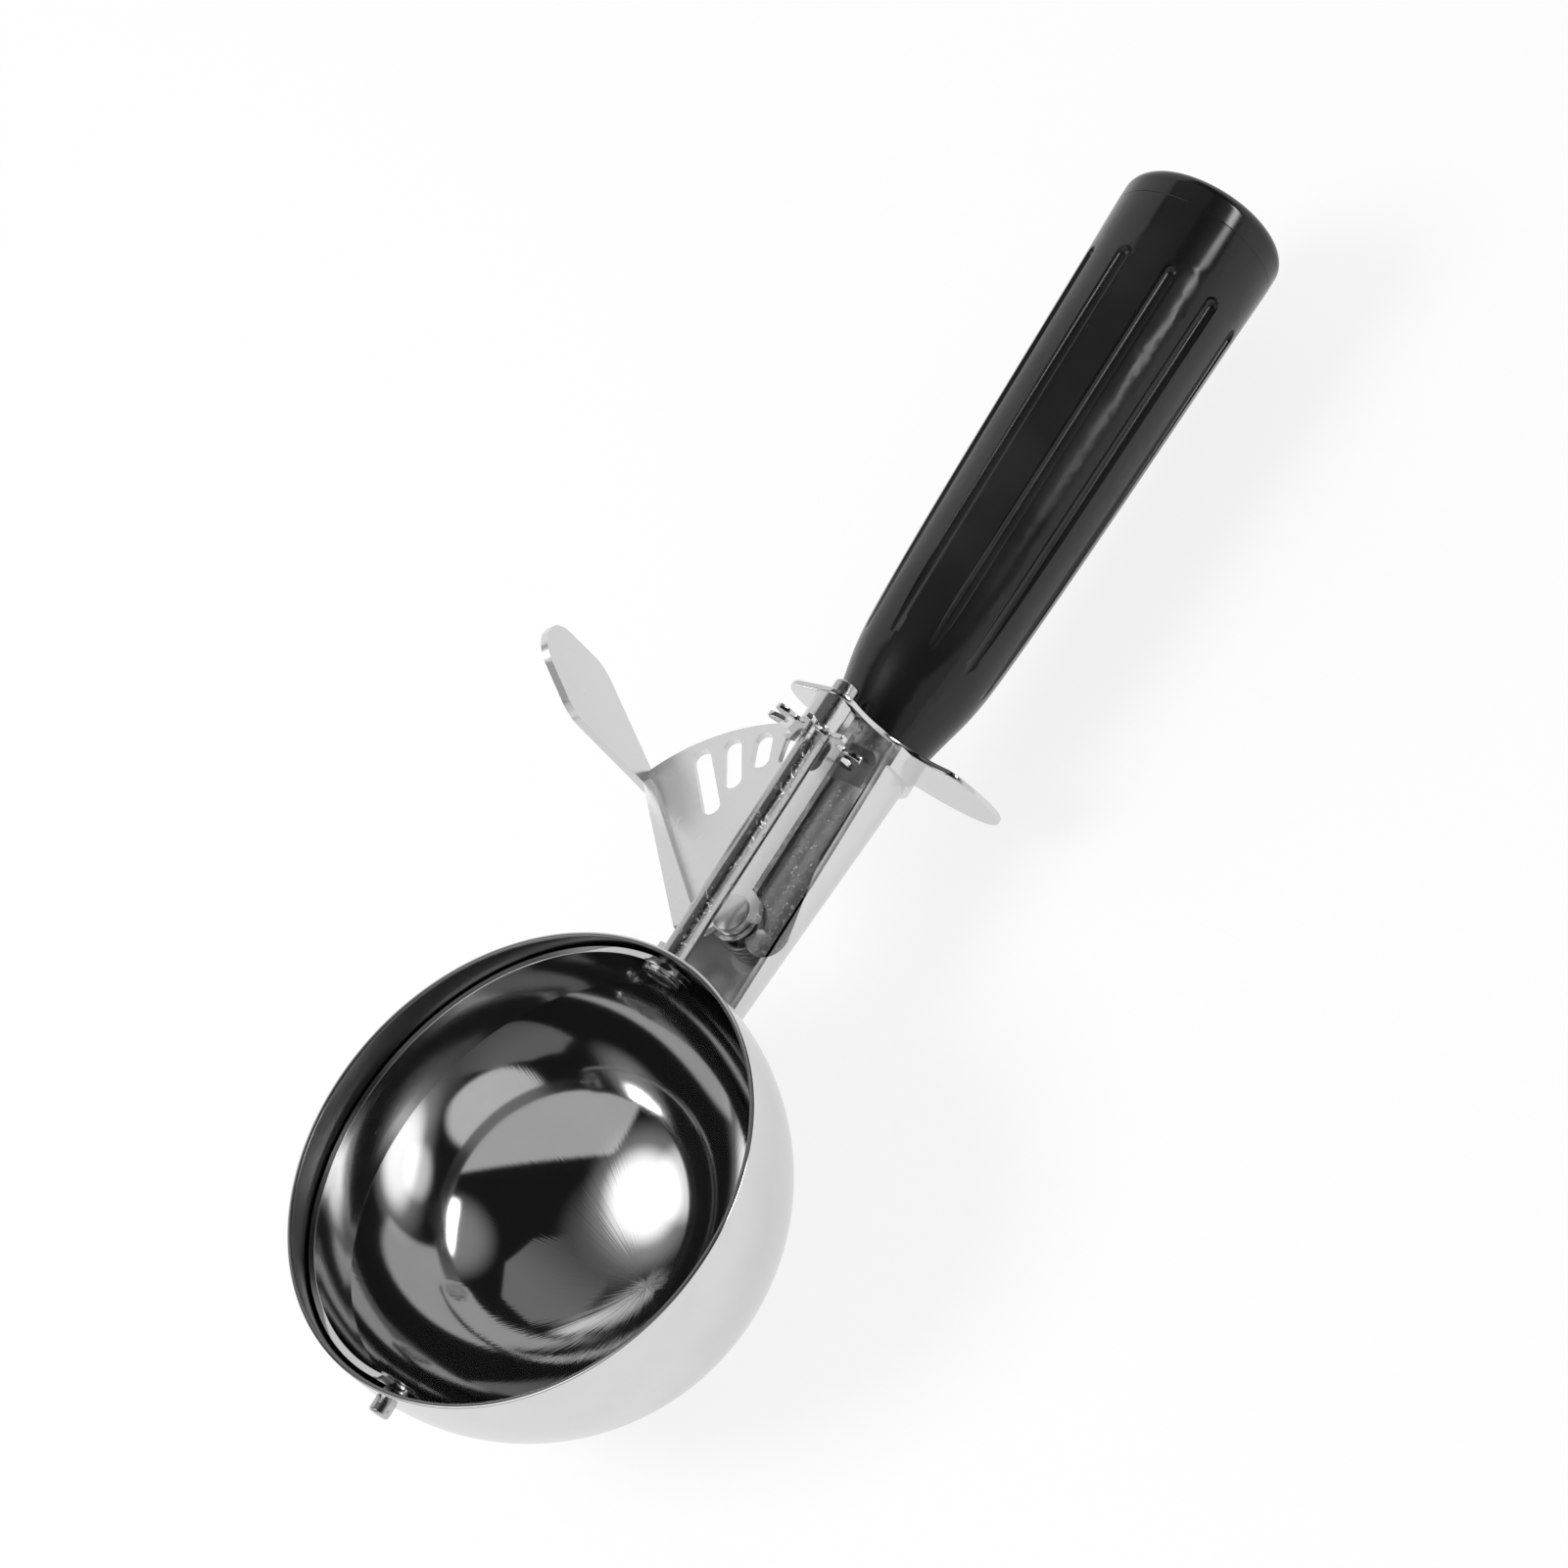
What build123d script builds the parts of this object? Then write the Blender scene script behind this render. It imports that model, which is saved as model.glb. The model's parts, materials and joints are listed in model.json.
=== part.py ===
from build123d import *
import math
import os

# Lever ice cream scoop.  Millimetres.  The origin is the centre of the bowl's
# rim, +Z is the way the bowl opens and +X runs from the bowl to the handle.
# The thumb lever stands on the +Y side.  Every piece is drawn at rest.

# ---- clearances
RUNNING_FIT = 0.05
SEAT_GAP = 0.05
SIDE_PLAY = 0.15

# ---- bowl
BOWL_RADIUS = 35.6
BOWL_WALL = 0.8
RIM_ROUND = 0.3
AXIS_DROP = 4.6

# ---- scraper blade
BLADE_GAP = 0.4
BLADE_THICKNESS = 0.5
BLADE_WIDTH = 8.6
BLADE_REST_ANGLE = 8.0
TIP_PIN_RADIUS = 1.5
TIP_PIN_OUT = 2.1
KEEPER_RADIUS = 2.9
KEEPER_THICKNESS = 0.9
KEEPER_NOTCH_DEPTH = 1.3
KEEPER_NOTCH_HALF = 0.6
KEEPER_SEAT = 0.35

# ---- blade shaft and star pinion
SHAFT_RADIUS = 1.9
SHAFT_OUT = 2.2
SHAFT_CHAMFER = 0.3
PINION_INSET = 2.9
PINION_THICKNESS = 0.9
PINION_TEETH = 8
PINION_ROOT_RADIUS = 4.6
PINION_ROOT_ROUND = 0.8
PINION_TIP_RADIUS = 7.6
TOOTH_HALF_WIDTH = 0.95
TOOTH_TIP_HALF_WIDTH = 0.5
TOOTH_SHOULDER_RADIUS = 6.3
HUB_RADIUS = 3.2
HUB_FLAT = 2.5
HUB_NECK_RADIUS = 2.6
HUB_NECK_LENGTH = 0.8

# ---- thumb lever; lengths in its plane are measured from its pivot
PIVOT_FROM_BOWL = 11.4
MESH_DEPTH = 5.9
LEVER_THICKNESS = 1.2
FAN_RADIUS = 31.4
FAN_CORNER_ANGLE = 62.0
FAN_BACK_EDGE_Y = -1.0
NOSE_RADIUS = 4.4
HEEL = (-7.2, 4.4)
HEEL_ROUND = 1.6
WINDOW_RIM = 1.5
WINDOW_WIDTH = 2.9
WINDOW_PITCH = 10.0
WINDOW_FIRST = 5.0
WINDOW_LENGTHS = (5.9, 5.9, 5.9, 8.6, 11.9)
LIP_HEIGHT = 1.4
LIP_START = 2.5
TAB_TURN = 10.0
TAB_TILT = 10.0
TAB_LEAN = 28.0
TAB_CIRCLES = ((0.0, 1.6), (16.5, 6.8), (22.6, 4.7))

# ---- lever pivot
RIVET_RADIUS = 1.6
RIVET_HEAD_RADIUS = 3.4
RIVET_HEAD_HEIGHT = 1.4
RIVET_FOOT_RADIUS = 3.0
RIVET_FOOT_HEIGHT = 0.8
SLEEVE_RADIUS = 2.3
WASHER_RADIUS = 3.7
WASHER_THICKNESS = 0.4

# ---- return spring
SPRING_RADIUS = 3.3
SPRING_WIRE_RADIUS = 0.35
SPRING_PITCH = 1.1
SPRING_TURNS = 4
SPRING_SEAT = 0.25
SPRING_LEG = 3.2

# ---- shank; drops are measured from the blade's axis
SHANK_RADIUS = 8.0
SHANK_WALL = 1.0
SHANK_ENTRY = 4.6
SHANK_BOWL_DROP = 7.3
SHANK_END_DROP = 11.0
PAD_RADIUS = 4.6
PAD_ABOVE = 1.9
PAD_BELOW = 1.3
COLLAR_LENGTH = 3.4
COLLAR_THICKNESS = 0.7
COLLAR_WEB = 1.4
STOP_GAP = 0.6
STOP_THICKNESS = 1.0
STOP_WIDTH = 3.4
STOP_INSET = 0.3
STOP_ABOVE = 2.3
STOP_ROOT = 2.1

# ---- guide strip under the lever
STRIP_DEPTH = 0.6
STRIP_THICKNESS = 0.6
STRIP_END_RADIUS = 3.35
STRIP_END_CENTRE = (-0.45, -6.05)
STRIP_KNEE = 13.0
STRIP_OUTER_Y = -6.3
STRIP_KNEE_INNER_Y = 0.4
STRIP_GUARD_INNER_Y = 3.0
STRIP_FLANGE = 1.4
OPENING_BEFORE = 2.1
OPENING_BEHIND = 3.7
OPENING_ROUND = 2.0

# ---- guard
FAN_TO_GUARD = 1.6
GUARD_THICKNESS = 0.9
GUARD_LONG = 17.9
GUARD_SHORT = 7.3
GUARD_TILT = 43.8
GUARD_SHIFT = (-3.1, 3.0)
GUARD_HUB_RADIUS = 8.4
GUARD_EYE_RADIUS = 2.9
GUARD_WAIST = 7.2
GUARD_WAIST_RADIUS = 13.0
GUARD_WAIST_ROUND = 3.0

# ---- handle; stations and grooves are (distance behind the guard, radius)
HANDLE_DROP = 11.9
GRIP_LENGTH = 92.2
TANG_RADIUS = 3.5
TANG_TO_STEM = 6.1
TANG_TIP_GAP = 1.0
NECK_RADIUS = 7.7
HANDLE_STATIONS = ((4.8, 8.6), (10.8, 9.9), (18.8, 10.7), (33.8, 11.4), (58.8, 12.2))
HANDLE_END_RADIUS = 13.2
CAP_LENGTH = 5.2
CAP_STEM_RADIUS = 6.0
CAP_STEM_LENGTH = 9.0
CAP_STEM_GAP = 1.0
CAP_ROUND = 2.4
GROOVE_COUNT = 10
GROOVE_RADIUS = 1.35
GROOVE_START = (10.0, 11.5)
GROOVE_TO_CAP = 11.1
GROOVE_END_RADIUS = 13.1

# ---- places along X
PIVOT_X = BOWL_RADIUS + PIVOT_FROM_BOWL
GUARD_X = PIVOT_X + FAN_RADIUS + FAN_TO_GUARD
GUARD_BACK = GUARD_X + GUARD_THICKNESS
WINDOW_OUTER_RADIUS = FAN_RADIUS - WINDOW_RIM
PINION_X = PIVOT_X + WINDOW_OUTER_RADIUS - PINION_INSET
SHANK_BOWL_X = BOWL_RADIUS - SHANK_ENTRY
HEEL_X = PIVOT_X + HEEL[0]
STOP_X = HEEL_X - STOP_GAP
CAP_START = GUARD_BACK + GRIP_LENGTH
HANDLE_END = CAP_START + CAP_LENGTH
STEM_START = CAP_START - CAP_STEM_LENGTH
TANG_END = STEM_START - TANG_TO_STEM

# ---- places along Z
AXIS_Z = -AXIS_DROP
LEVER_Z = AXIS_Z - MESH_DEPTH
LEVER_TOP = LEVER_Z + LEVER_THICKNESS / 2
LEVER_BOTTOM = LEVER_Z - LEVER_THICKNESS / 2
STRIP_TOP = LEVER_BOTTOM - STRIP_DEPTH
STRIP_BOTTOM = STRIP_TOP - STRIP_THICKNESS
SHANK_BOWL_Z = AXIS_Z - SHANK_BOWL_DROP
SHANK_END_Z = AXIS_Z - SHANK_END_DROP
HANDLE_Z = AXIS_Z - HANDLE_DROP

# ---- other derived sizes
BOWL_INNER = BOWL_RADIUS - BOWL_WALL
BLADE_OUTER = BOWL_INNER - BLADE_GAP
BLADE_INNER = BLADE_OUTER - BLADE_THICKNESS
KEEPER_FACE = BLADE_INNER - KEEPER_SEAT
PIN_INNER_END = KEEPER_FACE - KEEPER_THICKNESS
SHANK_INNER = SHANK_RADIUS - SHANK_WALL
SHANK_SLOPE = (SHANK_END_Z - SHANK_BOWL_Z) / (GUARD_X - SHANK_BOWL_X)
SHANK_PIVOT_Z = SHANK_BOWL_Z + SHANK_SLOPE * (PIVOT_X - SHANK_BOWL_X)
PAD_TOP_Z = SHANK_PIVOT_Z - SHANK_RADIUS + PAD_ABOVE
PAD_BOTTOM_Z = SHANK_PIVOT_Z - SHANK_RADIUS - PAD_BELOW
BEYOND = 2 * HANDLE_END
ALONG_X = Rot(0, 90, 0)


def rod(radius, x_start, x_end, z=AXIS_Z, y=0.0):
    """A round bar along X."""
    length = x_end - x_start
    return Pos((x_start + x_end) / 2, y, z) * ALONG_X * Cylinder(radius, length)


def post(radius, z_bottom, z_top, x=PIVOT_X, y=0.0):
    """A round bar along Z."""
    height = z_top - z_bottom
    return Pos(x, y, (z_bottom + z_top) / 2) * Cylinder(radius, height)


def block(x_range, y_range, z_range):
    """A box given by its two limits on each axis."""
    limits = (x_range, y_range, z_range)
    size = [high - low for low, high in limits]
    centre = [(high + low) / 2 for low, high in limits]
    return Pos(*centre) * Box(*size)


def bowl():
    """Hemisphere with a short straight collar and two holes on the blade's axis."""
    shells = []
    for radius in (BOWL_RADIUS, BOWL_INNER):
        ball = Pos(0, 0, AXIS_Z) * ALONG_X * Sphere(radius)
        lower = ball & block((-BEYOND, BEYOND), (-BEYOND, BEYOND), (-BEYOND, AXIS_Z))
        shells.append(lower + post(radius, AXIS_Z, 0, x=0))
    body = shells[0] - shells[1]
    rim_edges = body.edges().group_by(Axis.Z)[-1]
    body = fillet(rim_edges, RIM_ROUND)
    body -= rod(TIP_PIN_RADIUS + RUNNING_FIT, -BEYOND, 0)
    return body - rod(SHAFT_RADIUS + RUNNING_FIT, 0, BEYOND)


def scraper_blade():
    """Half ring pressed to the bowl's curve, with a round ear on the axis at each end."""
    ring = Sphere(BLADE_OUTER) - Sphere(BLADE_INNER)
    half = BLADE_WIDTH / 2
    band = block((-BEYOND, BEYOND), (0, BEYOND), (-half, half))
    body = ring & (band + rod(half, -BEYOND, BEYOND, z=0))
    body -= rod(TIP_PIN_RADIUS, -BEYOND, 0, z=0)
    body -= rod(SHAFT_RADIUS, 0, BEYOND, z=0)
    return Pos(0, 0, AXIS_Z) * Rot(-BLADE_REST_ANGLE, 0, 0) * body


def keeper(pin_radius, direction):
    """Notched washer that clamps one end of the blade on its pin, inside the bowl."""
    ends = sorted((direction * KEEPER_FACE, direction * PIN_INNER_END))
    body = rod(KEEPER_RADIUS, *ends) - rod(pin_radius, *ends)
    notch = block(
        (-BEYOND, BEYOND),
        (KEEPER_RADIUS - KEEPER_NOTCH_DEPTH, BEYOND),
        (AXIS_Z - KEEPER_NOTCH_HALF, AXIS_Z + KEEPER_NOTCH_HALF),
    )
    return body - notch


def tip_pin():
    """Pin through the bowl's front wall; the blade's front ear sits on it."""
    body = rod(TIP_PIN_RADIUS, -BOWL_RADIUS - TIP_PIN_OUT, -PIN_INNER_END)
    return chamfer(body.edges().group_by(Axis.X)[0], SHAFT_CHAMFER)


def blade_shaft():
    """Straight rod from the blade's rear ear out through the guard."""
    body = rod(SHAFT_RADIUS, PIN_INNER_END, GUARD_BACK + SHAFT_OUT)
    return chamfer(body.edges().group_by(Axis.X)[-1], SHAFT_CHAMFER)


def star_pinion():
    """Thin star wheel whose teeth run in the lever's windows."""
    outline = Circle(PINION_ROOT_RADIUS)
    tooth = Polygon(
        (0, -TOOTH_HALF_WIDTH),
        (TOOTH_SHOULDER_RADIUS, -TOOTH_HALF_WIDTH),
        (PINION_TIP_RADIUS, -TOOTH_TIP_HALF_WIDTH),
        (PINION_TIP_RADIUS, TOOTH_TIP_HALF_WIDTH),
        (TOOTH_SHOULDER_RADIUS, TOOTH_HALF_WIDTH),
        (0, TOOTH_HALF_WIDTH),
        align=None,
    )
    pitch = 360 / PINION_TEETH
    for index in range(PINION_TEETH):
        outline += Rot(0, 0, (index + 0.5) * pitch) * tooth
    roots = outline.vertices().filter_by(
        lambda v: math.isclose(math.hypot(v.X, v.Y), PINION_ROOT_RADIUS, rel_tol=0.01)
    )
    outline = fillet(roots, PINION_ROOT_ROUND)
    outline -= Circle(SHAFT_RADIUS)
    wheel = extrude(outline, PINION_THICKNESS / 2, both=True)
    return Pos(PINION_X, 0, AXIS_Z) * ALONG_X * wheel


def pinion_hub():
    """Sleeve with two flats that holds the star wheel off the guard."""
    start = PINION_X + PINION_THICKNESS / 2
    end = GUARD_X - SIDE_PLAY
    barrel = rod(HUB_RADIUS, start + HUB_NECK_LENGTH, end)
    barrel &= block((-BEYOND, BEYOND), (-HUB_FLAT, HUB_FLAT), (-BEYOND, BEYOND))
    body = barrel + rod(HUB_NECK_RADIUS, start, end)
    return body - rod(SHAFT_RADIUS, start, end)


def polar(radius, angle):
    """Point at a radius and an angle in degrees from the origin."""
    turn = math.radians(angle)
    return (radius * math.cos(turn), radius * math.sin(turn))


def fan_outline():
    """Flat shape of the lever plate with its radial windows, pivot at the origin."""
    back = (math.sqrt(FAN_RADIUS**2 - FAN_BACK_EDGE_Y**2), FAN_BACK_EDGE_Y)
    corner = polar(FAN_RADIUS, FAN_CORNER_ANGLE)
    below_pivot = (0, FAN_BACK_EDGE_Y)
    edges = [
        Line(HEEL, below_pivot),
        Line(below_pivot, back),
        ThreePointArc(back, polar(FAN_RADIUS, FAN_CORNER_ANGLE / 2), corner),
        Line(corner, HEEL),
    ]
    outline = make_face(edges)
    outline = fillet(outline.vertices().sort_by(Axis.X)[0], HEEL_ROUND)
    outline += Circle(NOSE_RADIUS)
    for index, length in enumerate(WINDOW_LENGTHS):
        angle = WINDOW_FIRST + index * WINDOW_PITCH
        slot = Pos(WINDOW_OUTER_RADIUS - length / 2, 0) * SlotOverall(length, WINDOW_WIDTH)
        outline -= Rot(0, 0, angle) * slot
    return outline


def thumb_tab():
    """Upright leaf: three circles along its middle line, hulled, foot at the origin."""
    rings = []
    for distance, radius in TAB_CIRCLES:
        rings += (Rot(0, 0, 90 - TAB_LEAN) * Pos(distance, 0) * Circle(radius)).edges()
    leaf = extrude(make_hull(rings), LEVER_THICKNESS / 2, both=True)
    return Rot(0, 0, -TAB_TURN) * Rot(90 - TAB_TILT, 0, 0) * leaf


def thumb_lever():
    """Pressed fan plate with a bent-up lip along its left edge and a thumb tab."""
    corner = Vector(*polar(FAN_RADIUS, FAN_CORNER_ANGLE))
    edge = corner - Vector(*HEEL)
    along_edge = Pos(*corner) * Rot(0, 0, math.degrees(math.atan2(edge.Y, edge.X)))
    lip = block(
        (LIP_START - edge.length, -LIP_START),
        (-LEVER_THICKNESS, 0),
        (-LEVER_THICKNESS / 2, LEVER_THICKNESS / 2 + LIP_HEIGHT),
    )
    tab = along_edge * Pos(-LEVER_THICKNESS, 0, 0) * thumb_tab()
    tab &= block((-BEYOND, BEYOND), (-BEYOND, BEYOND), (-LEVER_THICKNESS / 2, BEYOND))
    body = extrude(fan_outline(), LEVER_THICKNESS / 2, both=True) + along_edge * lip + tab
    body = Pos(PIVOT_X, 0, LEVER_Z) * body
    return body - post(RIVET_RADIUS + RUNNING_FIT, -BEYOND, 0)


def pivot_rivet():
    """Rivet on which the lever turns, with a domed head above and a foot below."""
    head_z = LEVER_TOP + SIDE_PLAY
    top = head_z + RIVET_HEAD_HEIGHT
    body = post(RIVET_RADIUS, PAD_BOTTOM_Z, head_z + RIVET_HEAD_HEIGHT / 2)
    body += post(RIVET_FOOT_RADIUS, PAD_BOTTOM_Z - RIVET_FOOT_HEIGHT, PAD_BOTTOM_Z)
    dome_radius = (RIVET_HEAD_RADIUS**2 + RIVET_HEAD_HEIGHT**2) / (2 * RIVET_HEAD_HEIGHT)
    dome = Pos(PIVOT_X, 0, top - dome_radius) * Sphere(dome_radius)
    return body + (dome & post(RIVET_HEAD_RADIUS * 2, head_z, top + RIVET_HEAD_HEIGHT))


def pivot_washer():
    """Washer under the lever."""
    top = LEVER_BOTTOM - SIDE_PLAY
    bottom = top - WASHER_THICKNESS
    return post(WASHER_RADIUS, bottom, top) - post(RIVET_RADIUS, bottom, top)


def pivot_sleeve():
    """Tube round the rivet that carries the lever above the shank."""
    top = LEVER_BOTTOM - SIDE_PLAY - WASHER_THICKNESS
    return post(SLEEVE_RADIUS, PAD_TOP_Z, top) - post(RIVET_RADIUS, PAD_TOP_Z, top)


def return_spring():
    """Torsion spring round the sleeve, one leg against the lever and one in the shank."""
    height = SPRING_PITCH * SPRING_TURNS
    coil = Helix(SPRING_PITCH, height, SPRING_RADIUS)
    profile = Plane(origin=coil @ 0, z_dir=coil % 0) * Circle(SPRING_WIRE_RADIUS)
    body = sweep(profile, path=coil, is_frenet=True)
    for point, tangent in ((coil @ 0, (coil % 0) * -1), (coil @ 1, coil % 1)):
        leg = Plane(origin=point, z_dir=tangent) * Circle(SPRING_WIRE_RADIUS)
        body += extrude(leg, SPRING_LEG)
    return Pos(PIVOT_X, 0, PAD_TOP_Z + SPRING_SEAT + SPRING_WIRE_RADIUS) * body


def shank():
    """Round channel from the bowl to the guard, open above, with the lever's stop on its edge."""
    run = Vector(GUARD_X - SHANK_BOWL_X, 0, SHANK_END_Z - SHANK_BOWL_Z)
    start = Plane(origin=(SHANK_BOWL_X, 0, SHANK_BOWL_Z), x_dir=(0, 1, 0), z_dir=run)
    ring = Circle(SHANK_RADIUS) - Circle(SHANK_INNER)
    channel = extrude(start * ring, run.length + SHANK_RADIUS)
    collar_start = GUARD_X - COLLAR_LENGTH
    collar = rod(SHANK_RADIUS + COLLAR_THICKNESS, collar_start, GUARD_X, z=SHANK_END_Z)
    collar -= rod(SHANK_INNER, collar_start, GUARD_X - COLLAR_WEB, z=SHANK_END_Z)
    stop_outer_y = SHANK_RADIUS - STOP_INSET
    stop = block(
        (STOP_X - STOP_THICKNESS, STOP_X),
        (stop_outer_y - STOP_WIDTH, stop_outer_y),
        (SHANK_BOWL_Z - STOP_ROOT, SHANK_BOWL_Z + STOP_ABOVE),
    )
    below_strip = block((-BEYOND, BEYOND), (-BEYOND, BEYOND), (-BEYOND, STRIP_BOTTOM))
    body = (channel + collar) & below_strip
    body = body + post(PAD_RADIUS, PAD_BOTTOM_Z, PAD_TOP_Z) + stop
    body -= Pos(0, 0, AXIS_Z) * Sphere(BOWL_RADIUS + SEAT_GAP)
    body -= block((GUARD_X, BEYOND), (-BEYOND, BEYOND), (-BEYOND, BEYOND))
    body -= rod(TANG_RADIUS, GUARD_X - COLLAR_WEB, GUARD_X, z=HANDLE_Z)
    return body - post(RIVET_RADIUS, PAD_BOTTOM_Z, PAD_TOP_Z)


def tang():
    """Round bar from the shank's end into the handle."""
    return rod(TANG_RADIUS, GUARD_X - COLLAR_WEB, TANG_END, z=HANDLE_Z)


def strip_outline():
    """Plan of the guide strip: round end by the pivot, a knee, then out to the guard."""
    knee_x = PIVOT_X + STRIP_KNEE
    centre_x = PIVOT_X + STRIP_END_CENTRE[0]
    round_end = Pos(centre_x, STRIP_END_CENTRE[1]) * Circle(STRIP_END_RADIUS)
    knee = Line((knee_x, STRIP_OUTER_Y), (knee_x, STRIP_KNEE_INNER_Y))
    arm = Polygon(
        (knee_x, STRIP_OUTER_Y),
        (GUARD_X, STRIP_OUTER_Y),
        (GUARD_X, STRIP_GUARD_INNER_Y),
        (knee_x, STRIP_KNEE_INNER_Y),
        align=None,
    )
    return make_hull(round_end.edges() + knee.edges()) + arm


def guide_strip():
    """Flanged strip beside the pivot that the lever slides over, open round the star wheel."""
    opening_x = (
        PINION_X - OPENING_BEFORE,
        PINION_X + OPENING_BEHIND,
    )
    opening_y = STRIP_OUTER_Y + STRIP_THICKNESS
    plate = Pos(0, 0, STRIP_BOTTOM) * extrude(strip_outline(), STRIP_THICKNESS)
    opening = block(opening_x, (opening_y, BEYOND), (-BEYOND, 0))
    corner = opening.edges().filter_by(Axis.Z).sort_by(Axis.Y)[:2].sort_by(Axis.X)[-1]
    plate -= fillet(corner, OPENING_ROUND)
    flange = block(
        (PIVOT_X + STRIP_KNEE, opening_x[1]),
        (STRIP_OUTER_Y, opening_y),
        (STRIP_TOP - STRIP_FLANGE, STRIP_TOP),
    )
    return plate + flange


def guard_outline():
    """Oval with a round hub, an eye round the shaft and a waist; handle's middle at the origin."""
    oval = Pos(*GUARD_SHIFT) * Ellipse(GUARD_LONG, GUARD_SHORT)
    eye = Pos(*polar(HANDLE_DROP, 90 - GUARD_TILT)) * Circle(GUARD_EYE_RADIUS)
    outline = make_hull(oval.edges() + eye.edges()) + Circle(GUARD_HUB_RADIUS)
    waist = Vector(GUARD_SHIFT[0], GUARD_WAIST + GUARD_WAIST_RADIUS)
    outline -= Pos(*waist) * Circle(GUARD_WAIST_RADIUS)
    waist_ends = outline.vertices().filter_by(
        lambda v: math.isclose((Vector(v) - waist).length, GUARD_WAIST_RADIUS, rel_tol=0.001)
    )
    return fillet(waist_ends, GUARD_WAIST_ROUND)


def guard_plate():
    """Flat waisted guard, set askew, with the tang and the blade shaft through it."""
    outline = Rot(0, 0, GUARD_TILT) * guard_outline()
    plane = Plane(origin=(GUARD_X, 0, HANDLE_Z), x_dir=(0, 1, 0), z_dir=(1, 0, 0))
    body = extrude(plane * outline, GUARD_THICKNESS)
    body -= rod(TANG_RADIUS + RUNNING_FIT, GUARD_X, GUARD_BACK, z=HANDLE_Z)
    return body - rod(SHAFT_RADIUS + RUNNING_FIT, GUARD_X, GUARD_BACK)


def handle_profile():
    """Half section of the grip, from the guard at the origin to the end cap."""
    side = Spline((0, NECK_RADIUS), *HANDLE_STATIONS, (GRIP_LENGTH, HANDLE_END_RADIUS))
    edges = [
        Line((0, 0), (0, NECK_RADIUS)),
        side,
        Line((GRIP_LENGTH, HANDLE_END_RADIUS), (GRIP_LENGTH, 0)),
        Line((GRIP_LENGTH, 0), (0, 0)),
    ]
    return make_face(edges)


def groove_cutter():
    """Round-ended bar that leaves the grip's surface toward the neck."""
    start = Vector(GROOVE_START[0], 0, GROOVE_START[1])
    end = Vector(GRIP_LENGTH - GROOVE_TO_CAP, 0, GROOVE_END_RADIUS)
    run = end - start
    bar = extrude(Plane(origin=start, z_dir=run) * Circle(GROOVE_RADIUS), run.length)
    return bar + Pos(*end) * Sphere(GROOVE_RADIUS)


def handle_grip():
    """Moulded grip with long grooves round it and blind holes for the tang and the cap's stem."""
    body = revolve(handle_profile(), Axis.X)
    cutter = groove_cutter()
    for index in range(GROOVE_COUNT):
        body -= Rot(index * 360 / GROOVE_COUNT, 0, 0) * cutter
    body = Pos(GUARD_BACK, 0, HANDLE_Z) * body
    body -= rod(TANG_RADIUS + RUNNING_FIT, GUARD_BACK, TANG_END + TANG_TIP_GAP, z=HANDLE_Z)
    stem_hole_start = STEM_START - CAP_STEM_GAP
    return body - rod(CAP_STEM_RADIUS + RUNNING_FIT, stem_hole_start, CAP_START, z=HANDLE_Z)


def end_cap():
    """Rounded cap pressed into the grip's end."""
    body = rod(HANDLE_END_RADIUS, CAP_START, HANDLE_END, z=HANDLE_Z)
    body = fillet(body.edges().group_by(Axis.X)[-1], CAP_ROUND)
    return body + rod(CAP_STEM_RADIUS, STEM_START, CAP_START, z=HANDLE_Z)


NODES = {
    "bowl": bowl,
    "scraper_blade": scraper_blade,
    "tip_pin": tip_pin,
    "tip_keeper": lambda: keeper(TIP_PIN_RADIUS, -1),
    "blade_shaft": blade_shaft,
    "shaft_keeper": lambda: keeper(SHAFT_RADIUS, 1),
    "star_pinion": star_pinion,
    "pinion_hub": pinion_hub,
    "thumb_lever": thumb_lever,
    "pivot_rivet": pivot_rivet,
    "pivot_washer": pivot_washer,
    "pivot_sleeve": pivot_sleeve,
    "return_spring": return_spring,
    "shank": shank,
    "tang": tang,
    "guide_strip": guide_strip,
    "guard_plate": guard_plate,
    "handle_grip": handle_grip,
    "end_cap": end_cap,
}

os.makedirs("parts", exist_ok=True)
for node, make in NODES.items():
    export_step(make(), f"parts/{node}.step")
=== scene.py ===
import json
import math

import bpy
from mathutils import Matrix, Vector

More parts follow.
